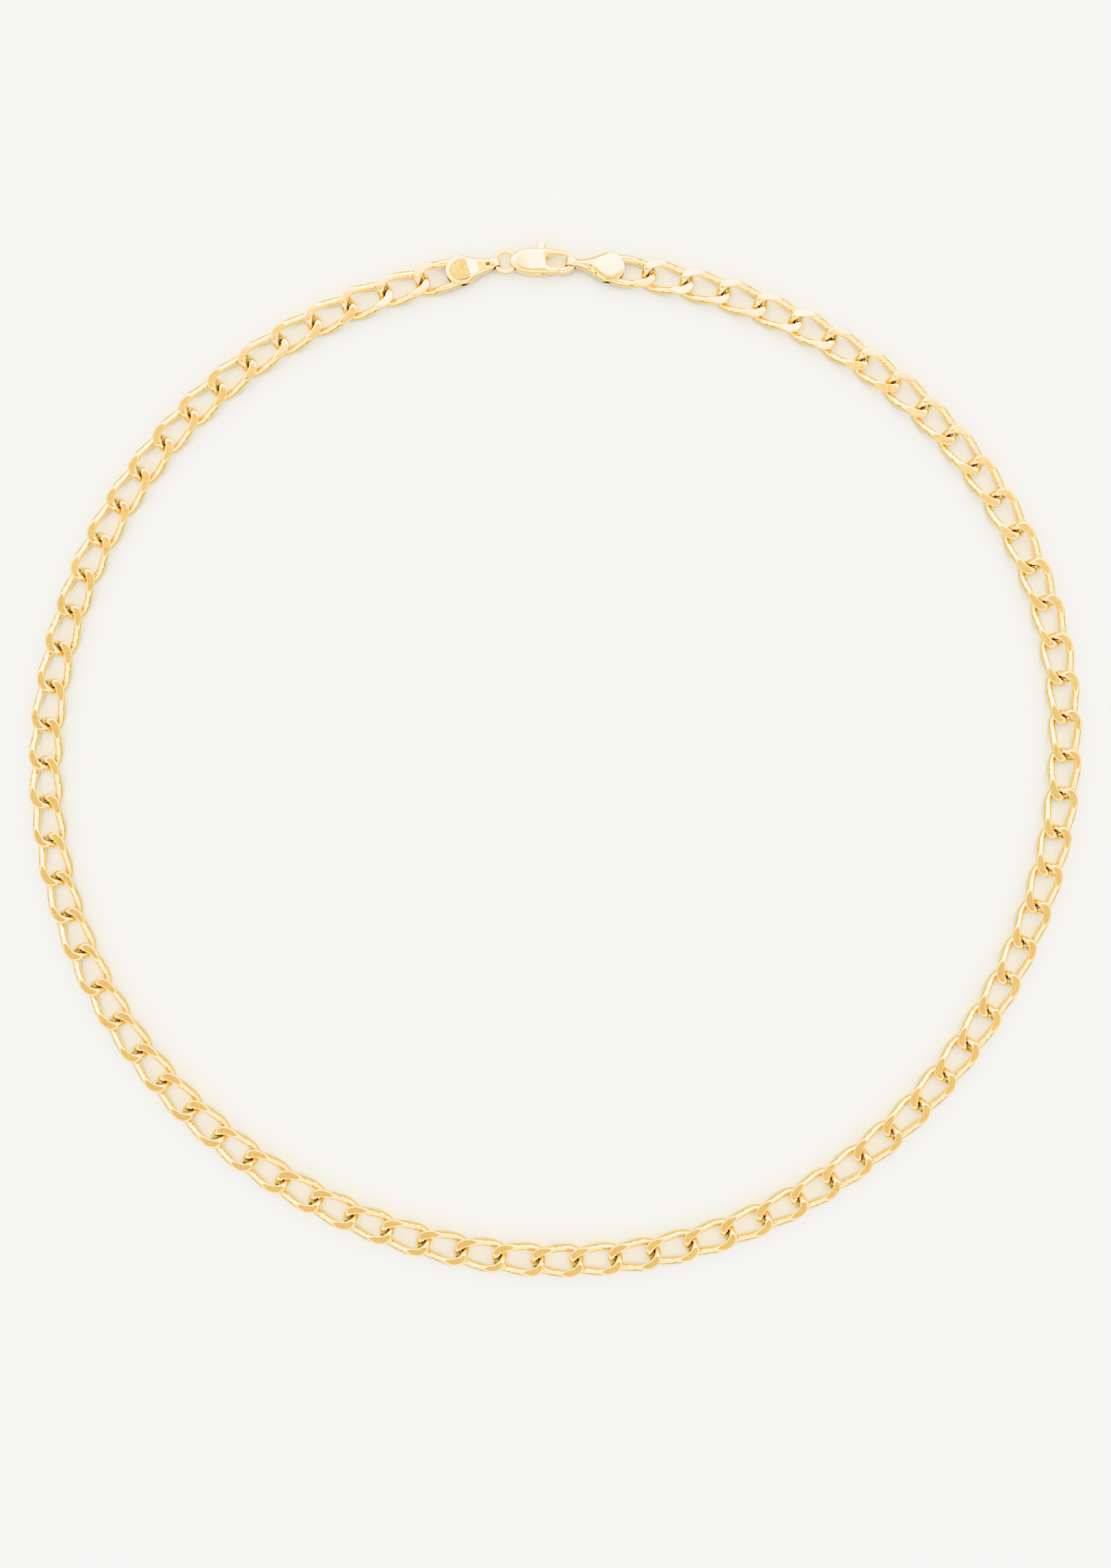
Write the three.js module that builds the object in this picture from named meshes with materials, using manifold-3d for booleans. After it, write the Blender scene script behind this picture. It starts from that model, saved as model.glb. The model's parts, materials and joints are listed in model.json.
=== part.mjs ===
// An open flat-curb chain necklace with a lobster clasp, laid flat in a closed loop.
// Millimetres, +Z up. The clasp is at +Y, the chain lies in the XY plane on Z = 0.
import * as THREE from 'three';
import { mergeVertices } from 'three/addons/utils/BufferGeometryUtils.js';
import Module from 'manifold-3d';

const wasm = await Module();
wasm.setup();

// Driving dimensions, mm and degrees
const GROUPS = 26; // each group is one single link and one joined pair
const PITCH = 6.1; // from one link to the next
const CHAIN_WIDTH = 5.0;
const CHAIN_THICKNESS = 2.2; // between the ground flats
const WIRE = 1.15; // wire of a link, before grinding
const LINK_PLAY = 0.1; // slack between two hooked links
const LINK_RISE_PLAY = 0.035; // by which the twist lifts a wire clear of the wire that it crosses
const LINK_CORNER = 0.65; // 1 is an ellipse, less is squarer
const LINK_STEPS = 12;
const LINK_SIDES = 6;
const GROUP_LINKS = 3;
const SOLDER = 0.8; // bead that joins the two links of a pair

const LEAF = 0.4; // strip of the end caps
const CAP_DISC = 5.2;
const CAP_DISC_SHIFT = 0.5; // disc centre from the link's pivot
const CAP_NECK_WIDE = 3.2;
const CAP_NECK_NARROW = 1.1;
const CAP_NECK_START = 3.1; // from the link's pivot
const CAP_PEG = 0.8;
const CAP_REACH_RING = 5.85; // from the link's pivot to the jump ring's wire
const CAP_REACH_HOOK = 6.25; // from the link's pivot to the hook's wire
const EYE_WALL_RING = 0.35;
const EYE_WALL_HOOK = 0.25;

const RING_RADIUS = 1.6; // to the middle of the wire
const RING_WIRE = 0.7;
const RING_SPLIT = 0.08;
const RING_SPLIT_ANGLE = 165;
const RING_PLAY = 0.15; // round the wire in each eye

const CLASP_REACH = 10.45; // from the ring's centre to the hook's wire
const CLASP_TILT = -2.4; // of the body against the line from ring to hook
const CLASP_LENGTH = 9.8; // of the body's outline
const CLASP_START = 1.3; // of the outline, from the ring's centre
const CLASP_HEIGHT = 4.6;
const CLASP_THICKNESS = 2.4;
const CLASP_ROUNDNESS = 2.3; // power of the outline, 2 is an ellipse
const NOSE_WIDTH = 1.6;
const NOSE_WALL = 0.45;
const NOSE_ROOT = 1; // how far the nose runs into the body
const HOOK_WIRE = 1.1;
const HOOK_CHAMFER = 0.25;
const OPENING_LENGTH = 3.5;
const OPENING_HEIGHT = 2.1;
const OPENING_LIFT = 0.45; // above the body's middle line
const OPENING_ROUNDNESS = 2.6; // power of its outline
const CHEEK_LAP = 0.9; // how far the thick body runs on over the hook's arm
const GATE_TIP = 8.85; // where the hook's tip begins, from the ring's centre
const LEVER_THICKNESS = 1.3;
const LEVER_ARM = 1.05;
const LEVER_HEEL = 0.84; // radius round the pin
const GATE_BEVEL = 0.3; // slope of the gate's end
const TAB_WIDTH = 1.3;
const TAB_STAND = 1.3; // out of the body
const TAB_AHEAD = 0.1; // of the pin
const TAB_LEAN = 0.2; // of its top towards the hook
const PIN_AT = 4.7; // from the ring's centre
const SLOT_BACK = 2.1; // how far the slot runs behind the pin
const PIN = 0.8;
const SPRING_STRIP = 0.15;
const FIT = 0.1; // clearance of the lever, pin and spring

// How the chain is laid: waves round a circle, [waves, cosine, sine] in mm
const LAY_WAVES = [[2, 0.98, 0.37], [3, -0.07, 0.41], [4, -0.06, 0.4]];
const LAY_BULGE = 1.1; // the clasp lies a little outside the curve
const LAY_BULGE_AT = 94;
const LAY_BULGE_SPREAD = 5;
const HOOK_BEARING = 88.15; // where the hook lies round the loop

const MID = CHAIN_THICKNESS / 2;
const LINKS = GROUP_LINKS * GROUPS;
// Rise of a link's wire per mm along and mm across: half a wire at a quarter of the width
const LINK_TWIST = (WIRE / 2 + LINK_RISE_PLAY) / ((PITCH / 2) * (CHAIN_WIDTH / 4));
const RING_STOCK = 10; // radius of the plain ring that a link is bent from
const HALVINGS = 50; // of a search for a length or an angle
const GOLD = { color: 0xe5c278, roughness: 0.18, metalness: 1 };
const STEEL = { color: 0xb9b7b0, roughness: 0.3, metalness: 1 };

const rad = THREE.MathUtils.degToRad;
const signedPower = (v, power) => Math.sign(v) * Math.abs(v) ** power;
const wrapped = (angle) => THREE.MathUtils.euclideanModulo(angle + Math.PI, 2 * Math.PI) - Math.PI;

function solidOf(geometry) {
  const plain = geometry.clone();
  plain.deleteAttribute('normal');
  plain.deleteAttribute('uv');
  const merged = mergeVertices(plain, 1e-4);
  return new wasm.Manifold(new wasm.Mesh({
    numProp: 3,
    vertProperties: new Float32Array(merged.attributes.position.array),
    triVerts: new Uint32Array(merged.index.array),
  }));
}

function geometryOf(solid) {
  const mesh = solid.getMesh();
  const geometry = new THREE.BufferGeometry();
  geometry.setAttribute('position', new THREE.BufferAttribute(mesh.vertProperties, mesh.numProp));
  geometry.setIndex(new THREE.BufferAttribute(mesh.triVerts, 1));
  geometry.computeVertexNormals();
  return geometry;
}

// A shape drawn in the XY plane, made `thickness` thick about Z = middle.
function plate(shape, thickness, middle = 0, chamfer = 0) {
  const geometry = new THREE.ExtrudeGeometry(shape, {
    depth: thickness - 2 * chamfer,
    bevelEnabled: chamfer > 0,
    bevelThickness: chamfer,
    bevelSize: chamfer,
    bevelOffset: -chamfer,
    bevelSegments: 1,
    curveSegments: 10,
  });
  return geometry.translate(0, 0, middle + chamfer - thickness / 2);
}

// A profile drawn as (x, z), made `width` wide about Y = 0.
function sidePlate(shape, width) {
  return plate(shape, width).rotateX(Math.PI / 2);
}

// A round bar along Z, on the X axis.
function drum(diameter, length, x) {
  const geometry = new THREE.CylinderGeometry(diameter / 2, diameter / 2, length, 16);
  return geometry.rotateX(Math.PI / 2).translate(x, 0, 0);
}

function block(x0, x1, y0, y1, z0, z1) {
  const geometry = new THREE.BoxGeometry(x1 - x0, y1 - y0, z1 - z0);
  return geometry.translate((x0 + x1) / 2, (y0 + y1) / 2, (z0 + z1) / 2);
}

function roundOval(centreX, centreY, halfLength, halfHeight, power, count) {
  const points = [];
  for (let i = 0; i < count; i += 1) {
    const a = (2 * Math.PI * i) / count;
    points.push(new THREE.Vector2(
      centreX + halfLength * signedPower(Math.cos(a), 2 / power),
      centreY + halfHeight * signedPower(Math.sin(a), 2 / power),
    ));
  }
  return points;
}

// A ring bent to a squarish oval, twisted so that opposite corners rise, with its faces ground flat.
// flatEnd 1 or -1 leaves that end untwisted, where an end cap presses it flat.
function linkGeometry(flatEnd) {
  const geometry = new THREE.TorusGeometry(RING_STOCK, 1, LINK_SIDES, LINK_STEPS);
  const place = geometry.attributes.position;
  const halfLength = (PITCH + WIRE + LINK_PLAY) / 2;
  const halfWidth = (CHAIN_WIDTH - WIRE) / 2;
  const oval = (turn) => new THREE.Vector2(
    halfLength * signedPower(Math.cos(turn), LINK_CORNER),
    halfWidth * signedPower(Math.sin(turn), LINK_CORNER),
  );
  for (let i = 0; i < place.count; i += 1) {
    const turn = Math.atan2(place.getY(i), place.getX(i));
    const out = Math.hypot(place.getX(i), place.getY(i)) - RING_STOCK;
    const centre = oval(turn);
    const along = oval(turn + 1e-3).sub(oval(turn - 1e-3)).normalize();
    const twisted = centre.x * flatEnd > 0 ? 0 : centre.x;
    const rise = -LINK_TWIST * twisted * centre.y + (WIRE / 2) * place.getZ(i);
    place.setXYZ(
      i,
      centre.x + (WIRE / 2) * out * along.y,
      centre.y - (WIRE / 2) * out * along.x,
      THREE.MathUtils.clamp(rise, -MID, MID),
    );
  }
  geometry.computeVertexNormals();
  return geometry;
}

// Two hooked links and the solder bead between them, in the first link's frame.
function pairGeometry(bend, flatEnd) {
  const bead = block(-SOLDER / 2, SOLDER / 2, -SOLDER / 2, SOLDER / 2, -SOLDER / 4, SOLDER / 4);
  const second = linkGeometry(flatEnd).translate(PITCH / 2, 0, 0).rotateZ(bend);
  const joined = solidOf(linkGeometry(0))
    .add(solidOf(second.translate(PITCH / 2, 0, 0)))
    .add(solidOf(bead.translate(PITCH / 2, 0, 0)));
  return geometryOf(joined);
}

// A strip folded round an eye, its two leaves pressed over the last link, in the frame of the
// link's pivot with +X towards the eye.
function capGeometry(reach, eyeHole, eyeWall) {
  const eye = eyeHole + eyeWall;
  const back = CAP_DISC_SHIFT - CAP_DISC / 2;
  const inside = MID - LEAF;
  const side = new THREE.Shape();
  side.moveTo(back, -MID);
  side.lineTo(CAP_NECK_START, -MID);
  side.lineTo(reach, -eye);
  side.absarc(reach, 0, eye, -Math.PI / 2, Math.PI / 2, false);
  side.lineTo(CAP_NECK_START, MID);
  side.lineTo(back, MID);
  side.lineTo(back, inside);
  side.lineTo(CAP_NECK_START - LEAF, inside);
  side.lineTo(CAP_NECK_START, 0);
  side.lineTo(CAP_NECK_START - LEAF, -inside);
  side.lineTo(back, -inside);
  const hole = new THREE.Path();
  hole.absarc(reach, 0, eyeHole, 0, 2 * Math.PI, true);
  side.holes.push(hole);

  const plan = new THREE.Shape();
  const meet = Math.asin(CAP_NECK_WIDE / CAP_DISC);
  plan.absarc(CAP_DISC_SHIFT, 0, CAP_DISC / 2, meet, 2 * Math.PI - meet, false);
  plan.lineTo(CAP_NECK_START, -CAP_NECK_WIDE / 2);
  plan.lineTo(reach - eye, -CAP_NECK_NARROW / 2);
  plan.lineTo(reach + eye + FIT, -CAP_NECK_NARROW / 2);
  plan.lineTo(reach + eye + FIT, CAP_NECK_NARROW / 2);
  plan.lineTo(reach - eye, CAP_NECK_NARROW / 2);
  plan.lineTo(CAP_NECK_START, CAP_NECK_WIDE / 2);

  const peg = drum(CAP_PEG, CHAIN_THICKNESS - LEAF, -CAP_PEG / 2 - FIT);
  const folded = solidOf(sidePlate(side, 2 * CAP_DISC));
  const trimmed = folded.intersect(solidOf(plate(plan, 2 * CHAIN_THICKNESS)));
  return geometryOf(trimmed.add(solidOf(peg)));
}

// A split round ring about the origin.
function ringGeometry() {
  const ring = new THREE.TorusGeometry(RING_RADIUS, RING_WIRE / 2, 8, 24);
  const cut = block(0, 2 * RING_RADIUS, -RING_SPLIT / 2, RING_SPLIT / 2, -RING_WIRE, RING_WIRE);
  cut.rotateZ(rad(RING_SPLIT_ANGLE));
  return geometryOf(solidOf(ring).subtract(solidOf(cut)));
}

const BODY_MIDDLE = CLASP_START + CLASP_LENGTH / 2;
const BODY_RISE = CLASP_THICKNESS / 2 - MID; // the clasp is thicker and stands on the same floor
const HOOK_X = CLASP_REACH * Math.cos(rad(CLASP_TILT));
const OPENING_END = HOOK_X - HOOK_WIRE / 2;
const OPENING_START = OPENING_END - OPENING_LENGTH;
const GATE_TOP = OPENING_LIFT - OPENING_HEIGHT / 2;
const SLOT = LEVER_THICKNESS + 2 * FIT;
const SLOT_START = PIN_AT - SLOT_BACK;

function claspOutline() {
  return new THREE.Shape(roundOval(
    BODY_MIDDLE, 0, CLASP_LENGTH / 2, CLASP_HEIGHT / 2, CLASP_ROUNDNESS, 36,
  ));
}

function openingOutline() {
  return new THREE.Shape(roundOval(
    OPENING_START + OPENING_LENGTH / 2, OPENING_LIFT,
    OPENING_LENGTH / 2, OPENING_HEIGHT / 2, OPENING_ROUNDNESS, 24,
  ));
}

// A thick body split by the lever's slot, a slimmer hook in front of it, a nose round the ring.
function claspBodyGeometry() {
  const ahead = BODY_MIDDLE + CLASP_LENGTH;
  const tall = CLASP_HEIGHT;
  const whole = solidOf(plate(claspOutline(), CLASP_THICKNESS, BODY_RISE, HOOK_CHAMFER));
  const thick = whole.subtract(solidOf(block(OPENING_START + CHEEK_LAP, ahead, -tall, tall, -tall, tall)));
  const hook = solidOf(plate(claspOutline(), HOOK_WIRE, 0, HOOK_CHAMFER))
    .subtract(solidOf(block(-ahead, PIN_AT + PIN, -tall, tall, -tall, tall)));
  const noseStart = RING_RADIUS - RING_WIRE / 2 - RING_PLAY - NOSE_WALL;
  const nose = solidOf(block(
    noseStart, CLASP_START + NOSE_ROOT, -NOSE_WIDTH / 2, NOSE_WIDTH / 2, -MID, MID,
  ));
  const passage = new THREE.TorusGeometry(RING_RADIUS, RING_WIRE / 2 + RING_PLAY, 10, 32);
  const gate = block(OPENING_START, GATE_TIP, -tall, OPENING_LIFT, -tall, tall);
  const slot = block(SLOT_START, OPENING_START + FIT, -tall, tall, -SLOT / 2, SLOT / 2);
  return geometryOf(thick.add(hook).add(nose)
    .subtract(solidOf(passage))
    .subtract(solidOf(plate(openingOutline(), 2 * tall)))
    .subtract(solidOf(gate))
    .subtract(solidOf(slot.translate(0, 0, BODY_RISE)))
    .subtract(solidOf(drum(PIN + FIT, 2 * tall, PIN_AT))));
}

// The thumb tab, the heel round the pin and the gate's arm, one flat piece.
function leverGeometry() {
  const armTop = GATE_TOP - FIT / 2;
  const armBottom = armTop - LEVER_ARM;
  const armEnd = GATE_TIP - FIT;
  const tabTop = CLASP_HEIGHT / 2 + TAB_STAND;
  const tabFoot = PIN_AT + TAB_AHEAD;
  const shape = new THREE.Shape();
  shape.moveTo(tabFoot + TAB_LEAN, tabTop);
  shape.lineTo(tabFoot + TAB_LEAN + TAB_WIDTH, tabTop);
  shape.lineTo(tabFoot + TAB_WIDTH, LEVER_HEEL);
  shape.lineTo(OPENING_START - FIT, armTop);
  shape.lineTo(armEnd, armTop);
  shape.lineTo(armEnd - GATE_BEVEL, armBottom);
  shape.lineTo(PIN_AT + LEVER_HEEL, armBottom);
  shape.absarc(PIN_AT, 0, LEVER_HEEL, rad(-120), rad(100), true);
  const hole = drum(PIN + 2 * FIT, CLASP_THICKNESS, PIN_AT);
  return geometryOf(solidOf(plate(shape, LEVER_THICKNESS)).subtract(solidOf(hole)));
}

function pinGeometry() {
  return drum(PIN, CLASP_THICKNESS - FIT, PIN_AT);
}

// A narrow strip bent to a U, open towards the lever's heel.
function springGeometry() {
  const left = SLOT_START + FIT;
  const right = PIN_AT - LEVER_HEEL - FIT;
  const bend = (right - left) / 2;
  const shape = new THREE.Shape();
  shape.moveTo(right, bend);
  shape.absarc(left + bend, 0, bend, Math.PI / 2, 1.5 * Math.PI, false);
  shape.lineTo(right, -bend);
  shape.lineTo(right, SPRING_STRIP - bend);
  shape.absarc(left + bend, 0, bend - SPRING_STRIP, 1.5 * Math.PI, Math.PI / 2, true);
  shape.lineTo(right, bend - SPRING_STRIP);
  return plate(shape, LEVER_THICKNESS);
}

// Distance of the laid chain from the loop's centre at a bearing, for a mean radius.
function layRadius(mean, bearing) {
  let radius = mean;
  for (const [waves, cosine, sine] of LAY_WAVES) {
    radius += cosine * Math.cos(waves * bearing) + sine * Math.sin(waves * bearing);
  }
  const away = wrapped(bearing - rad(LAY_BULGE_AT)) / rad(LAY_BULGE_SPREAD);
  return radius + LAY_BULGE * Math.exp(-(away ** 2) / 2);
}

function layPoint(mean, bearing) {
  const radius = layRadius(mean, bearing);
  return new THREE.Vector2(radius * Math.cos(bearing), radius * Math.sin(bearing));
}

// Steps clockwise from the hook by the length of each piece, and says where each pivot lies.
function walk(mean, lengths) {
  let bearing = rad(HOOK_BEARING);
  const points = [layPoint(mean, bearing)];
  for (const length of lengths) {
    const from = points[points.length - 1];
    let near = 0;
    let far = (3 * length) / mean;
    for (let i = 0; i < HALVINGS; i += 1) {
      const half = (near + far) / 2;
      if (layPoint(mean, bearing - half).distanceTo(from) < length) near = half;
      else far = half;
    }
    bearing -= near;
    points.push(layPoint(mean, bearing));
  }
  return { points, turned: rad(HOOK_BEARING) - bearing };
}

// The mean radius at which the pieces just close the loop, and the pivots on it.
function layLoop(lengths) {
  const total = lengths.reduce((sum, length) => sum + length, 0);
  let small = total / 10;
  let large = total / 4;
  for (let i = 0; i < HALVINGS; i += 1) {
    const mean = (small + large) / 2;
    if (walk(mean, lengths).turned > 2 * Math.PI) small = mean;
    else large = mean;
  }
  return walk(small, lengths).points;
}

const necklace = new THREE.Group();
const pivots = [];

function addPiece(name, geometry, at, direction, rise, finish = GOLD) {
  const mesh = new THREE.Mesh(geometry, new THREE.MeshStandardMaterial(finish));
  mesh.name = name;
  mesh.position.set(at.x, at.y, MID + rise);
  mesh.rotation.z = direction;
  necklace.add(mesh);
  return mesh;
}

const headingOf = (from, to) => Math.atan2(to.y - from.y, to.x - from.x);
const middleOf = (a, b) => a.clone().add(b).multiplyScalar(0.5);
const twoDigits = (n) => String(n).padStart(2, '0');

const lengths = [CAP_REACH_HOOK, ...Array(LINKS).fill(PITCH), CAP_REACH_RING + RING_RADIUS, CLASP_REACH];
const stops = layLoop(lengths);
const hookPoint = stops[0];
const crossings = stops.slice(1, LINKS + 2);
const ringCentre = stops[LINKS + 2];

function addChain() {
  let previous = 'end_cap_right';
  const hang = (name, geometry, link) => {
    const [a, b] = [crossings[link - 1], crossings[link]];
    addPiece(name, geometry, middleOf(a, b), headingOf(a, b), 0);
    pivots.push({ between: [previous, name], at: [a.x, a.y, MID] });
    previous = name;
  };
  for (let link = 1; link < LINKS; link += GROUP_LINKS) {
    const [b, c, d] = crossings.slice(link, link + GROUP_LINKS);
    const bend = wrapped(headingOf(c, d) - headingOf(b, c));
    const pair = pairGeometry(bend, link + 2 === LINKS ? 1 : 0);
    hang(`link_${twoDigits(link)}`, linkGeometry(link === 1 ? -1 : 0), link);
    hang(`links_${twoDigits(link + 1)}_${twoDigits(link + 2)}`, pair, link + 1);
  }
  pivots.push({ between: [previous, 'end_cap_left'], at: [crossings[LINKS].x, crossings[LINKS].y, MID] });
}

function addEndCaps() {
  const ringEye = RING_WIRE / 2 + RING_PLAY;
  const hookEye = MID - EYE_WALL_HOOK;
  const [right, left] = [crossings[0], crossings[LINKS]];
  addPiece('end_cap_right', capGeometry(CAP_REACH_HOOK, hookEye, EYE_WALL_HOOK), right,
    headingOf(right, hookPoint), 0);
  addPiece('end_cap_left', capGeometry(CAP_REACH_RING, ringEye, EYE_WALL_RING), left,
    headingOf(left, ringCentre), 0);
}

function addClasp() {
  const heading = headingOf(ringCentre, hookPoint) + rad(CLASP_TILT);
  addPiece('jump_ring', ringGeometry(), ringCentre, heading, 0);
  addPiece('clasp_body', claspBodyGeometry(), ringCentre, heading, 0);
  addPiece('clasp_lever', leverGeometry(), ringCentre, heading, BODY_RISE);
  addPiece('clasp_pin', pinGeometry(), ringCentre, heading, BODY_RISE);
  addPiece('clasp_spring', springGeometry(), ringCentre, heading, BODY_RISE, STEEL);
  const pin = new THREE.Vector2(PIN_AT, 0).rotateAround(new THREE.Vector2(), heading).add(ringCentre);
  pivots.push({ between: ['end_cap_left', 'clasp_body'], at: [ringCentre.x, ringCentre.y, MID] });
  pivots.push({ between: ['end_cap_left', 'jump_ring'], at: [ringCentre.x, ringCentre.y, MID] });
  pivots.push({ between: ['clasp_body', 'clasp_lever'], at: [pin.x, pin.y, MID + BODY_RISE] });
  pivots.push({ between: ['clasp_body', 'end_cap_right'], at: [hookPoint.x, hookPoint.y, MID] });
}

addChain();
addEndCaps();
addClasp();

// The origin is at the middle of the underside.
const middle = new THREE.Box3().setFromObject(necklace, true).getCenter(new THREE.Vector3());
necklace.position.set(-middle.x, -middle.y, 0);
necklace.userData.pivots = pivots.map(({ between, at }) => ({
  between, at: [at[0] - middle.x, at[1] - middle.y, at[2]],
}));

export default necklace;
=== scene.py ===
"""An open flat-curb chain necklace with a lobster clasp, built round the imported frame."""

import json
import math

import bpy
import numpy as np
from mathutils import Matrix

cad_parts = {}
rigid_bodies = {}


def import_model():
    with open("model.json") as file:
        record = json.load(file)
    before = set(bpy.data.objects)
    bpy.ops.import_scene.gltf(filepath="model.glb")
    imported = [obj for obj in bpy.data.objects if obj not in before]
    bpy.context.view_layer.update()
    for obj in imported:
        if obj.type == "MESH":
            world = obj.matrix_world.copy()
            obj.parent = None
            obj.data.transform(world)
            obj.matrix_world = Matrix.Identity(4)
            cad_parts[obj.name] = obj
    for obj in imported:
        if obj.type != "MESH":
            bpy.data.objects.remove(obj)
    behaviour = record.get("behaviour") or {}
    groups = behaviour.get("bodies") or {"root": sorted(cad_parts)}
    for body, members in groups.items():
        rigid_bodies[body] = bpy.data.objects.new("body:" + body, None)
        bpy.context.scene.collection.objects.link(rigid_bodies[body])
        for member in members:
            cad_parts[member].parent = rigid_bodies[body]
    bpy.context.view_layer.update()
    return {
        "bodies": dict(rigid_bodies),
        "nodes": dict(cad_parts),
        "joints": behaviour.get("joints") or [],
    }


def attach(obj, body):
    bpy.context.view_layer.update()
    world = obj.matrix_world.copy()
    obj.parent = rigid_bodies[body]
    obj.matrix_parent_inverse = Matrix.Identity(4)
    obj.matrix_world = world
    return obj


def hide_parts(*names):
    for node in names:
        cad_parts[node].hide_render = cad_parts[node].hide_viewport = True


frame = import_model()
MM = 0.001

# Chain. Lengths are in millimetres, down to the finishes.
CHAIN_WIDTH = 5.0
WIRE = 1.2                 # round wire that the links are bent from
WIRE_TRIM = 0.008          # taken off the wire's radius, to leave room for its ripples
LINK_PLAY = 0.1            # slack between two hooked links
LINK_TRIM = 0.025          # taken off half a link's length
LINK_OVAL = 2.75           # power of a link's outline: 2 is an ellipse, more is squarer
LINK_LIFT = 1.0            # height that the twist gives a wire at a corner, before grinding
LINK_SNAP = 1.6            # how soon along a side the twist reaches its height
WIDTH_SPREAD = 0.010       # how much links differ: a share of the width
OVAL_SPREAD = 0.10
LIFT_SPREAD = 0.03
PRESSED = (-1.4, 0.9)      # over this, an end link's twist dies away between its cap's leaves
RIPPLE = 0.0075            # height of the bending tool's marks
RIPPLE_WAVES = ((5, 1), (9, -1), (14, 2), (19, 1), (26, -2))  # waves along the wire and round it
GRIND = 1.07               # height of the ground faces above the chain's middle
GRIND_LEAN = 0.9           # degrees that the faces lean, from link to link
GRIND_LIMIT = 1.09         # the most that a leaning face rises to
GRIND_SOFT = 0.10          # width of the soft edge round a ground face
GRIND_CUT = (0.01, 0.05)   # metal taken off where a face starts to look ground, and where it does
RECESS = (0.68, 1.25)      # distance from a neighbour's middle line: in its shadow, and clear of it
LINK_STEPS = 120
WIRE_STEPS = 52
LINK_SEED = 1000           # a link draws its differences from this seed plus its number

# End caps. Lengths run from the end link's pivot towards the eye.
LEAF = 0.4                 # sheet that a cap is folded from
LEAF_THINS = 3             # from here on it thins towards the eye's wall
CAP_BACK = -2.1
CAP_WIDEST = 0.3
CAP_HALF = 2.3             # half width at its widest
CAP_COLUMNS = 61           # points across a leaf
CAP_TAPER = {              # half widths from the widest place on
    "left": ((0, 2.3), (0.6, 2.3), (1.4, 2.12), (2.36, 1.62), (3.96, 1.12), (5.2, 0.82),
             (5.8, 0.56), (7, 0.52)),
    "right": ((0, 2.3), (0.8, 2.3), (1.7, 2.04), (3.0, 1.3), (4.4, 0.84), (5.6, 0.66), (8, 0.6)),
}
CAP_FOLDS = {              # height of the sheet's middle along the upper leaf
    "left": ((-2.1, 0.90), (1.55, 0.90), (2.95, 0.665), (5.85, 0.66)),
    "right": ((-2.1, 0.90), (3.0, 0.90), (6.25, 0.97)),
}
CAP_CURL = {"left": 0.55, "right": 1.15}  # width of the rim that is curled over
CURL_PLACES = (CAP_WIDEST + 0.2, CAP_WIDEST + 1.1)
CURL_HEIGHTS = (0.70, 0.12)  # height of the curled rim at those places
CUT_EDGE = 0.07            # rounding of the sheet's cut edge
CUT_STEP = 0.2             # share of the thickness that the outer face keeps at the very edge
LOWER_NARROWER = 0.07      # share by which the lower leaf is narrower
CAP_REACH = {"left": 5.85, "right": 6.25}  # middle of the eye
EYE_STARTS = (1.0, 0.1)    # the leaf ends, and the eye begins, this far before the reach
EYE_HOLE = {"left": 0.5, "right": 0.85}
EYE_WALL = {"left": 0.32, "right": 0.24}
FOLD_SHADE = 0.85          # painted shade: how dark the inside of the fold is
PEG_AT = -0.5
PEG_RADIUS = 0.38

# What the press leaves on the left cap's upper leaf, and the shade painted in it. Pairs are where an
# edge starts and is done.
FACET_RIM = (0.44, 0.50)   # from the leaf's rim to the facet
FACET_END = (1.50, 1.56)
BORDER_RIM = 0.50          # the groove round the facet
BORDER_WIDTH = 0.09
BORDER_DEPTH = 0.05
BORDER_END = (1.3, 1.6)
CORNER_ACROSS = (0.7, 1.2)  # where the shade painted in the groove is darkest
CORNER_ALONG = (-0.9, 0.2)
HOLE_AT = 4.6              # the square dent near the eye
HOLE_EDGE = (0.28, 0.38)
HOLE_DEPTH = 0.24
TANG_STARTS = (2.92, 2.98)  # the narrow flat ahead of the facet
TANG_ENDS = (5.5, 5.6)
FACET_SLOPE = 0.055        # of the facet and the tang, across the leaf
FACET_SHADE = 0.22         # painted shades: 0 is the plating, 1 is the darkest
BORDER_SHADE = 0.25
HOLE_SHADE = 0.95

# The same for the right cap: a six-sided bump in a faint ring, and a dot, with shade painted in the
# ring and the dot
BUMP_AT = (3.2, 0.25)
BUMP_SIDES = 0.07          # how far it is from round
BUMP_EDGE = (0.42, 0.62)
BUMP_HEIGHT = 0.09
BUMP_RING = 0.64
BUMP_RING_WIDTH = 0.07
BUMP_RING_DEPTH = 0.03
BUMP_RING_SHADE = 0.35
DOT_AT = (2.35, 1.3)
DOT_EDGE = (0.12, 0.26)
DOT_DEPTH = 0.12
DOT_SHADE = 0.9

# Jump ring
RING_RADIUS = 1.6
RING_WIRE = 0.7
RING_SPLIT_ANGLE = 165
RING_SPLIT = 0.08
RING_CUT = (0.9, 0.98, 1.0)  # shares of the wire's radius from a cut end on
RING_STEPS = 145

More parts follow.
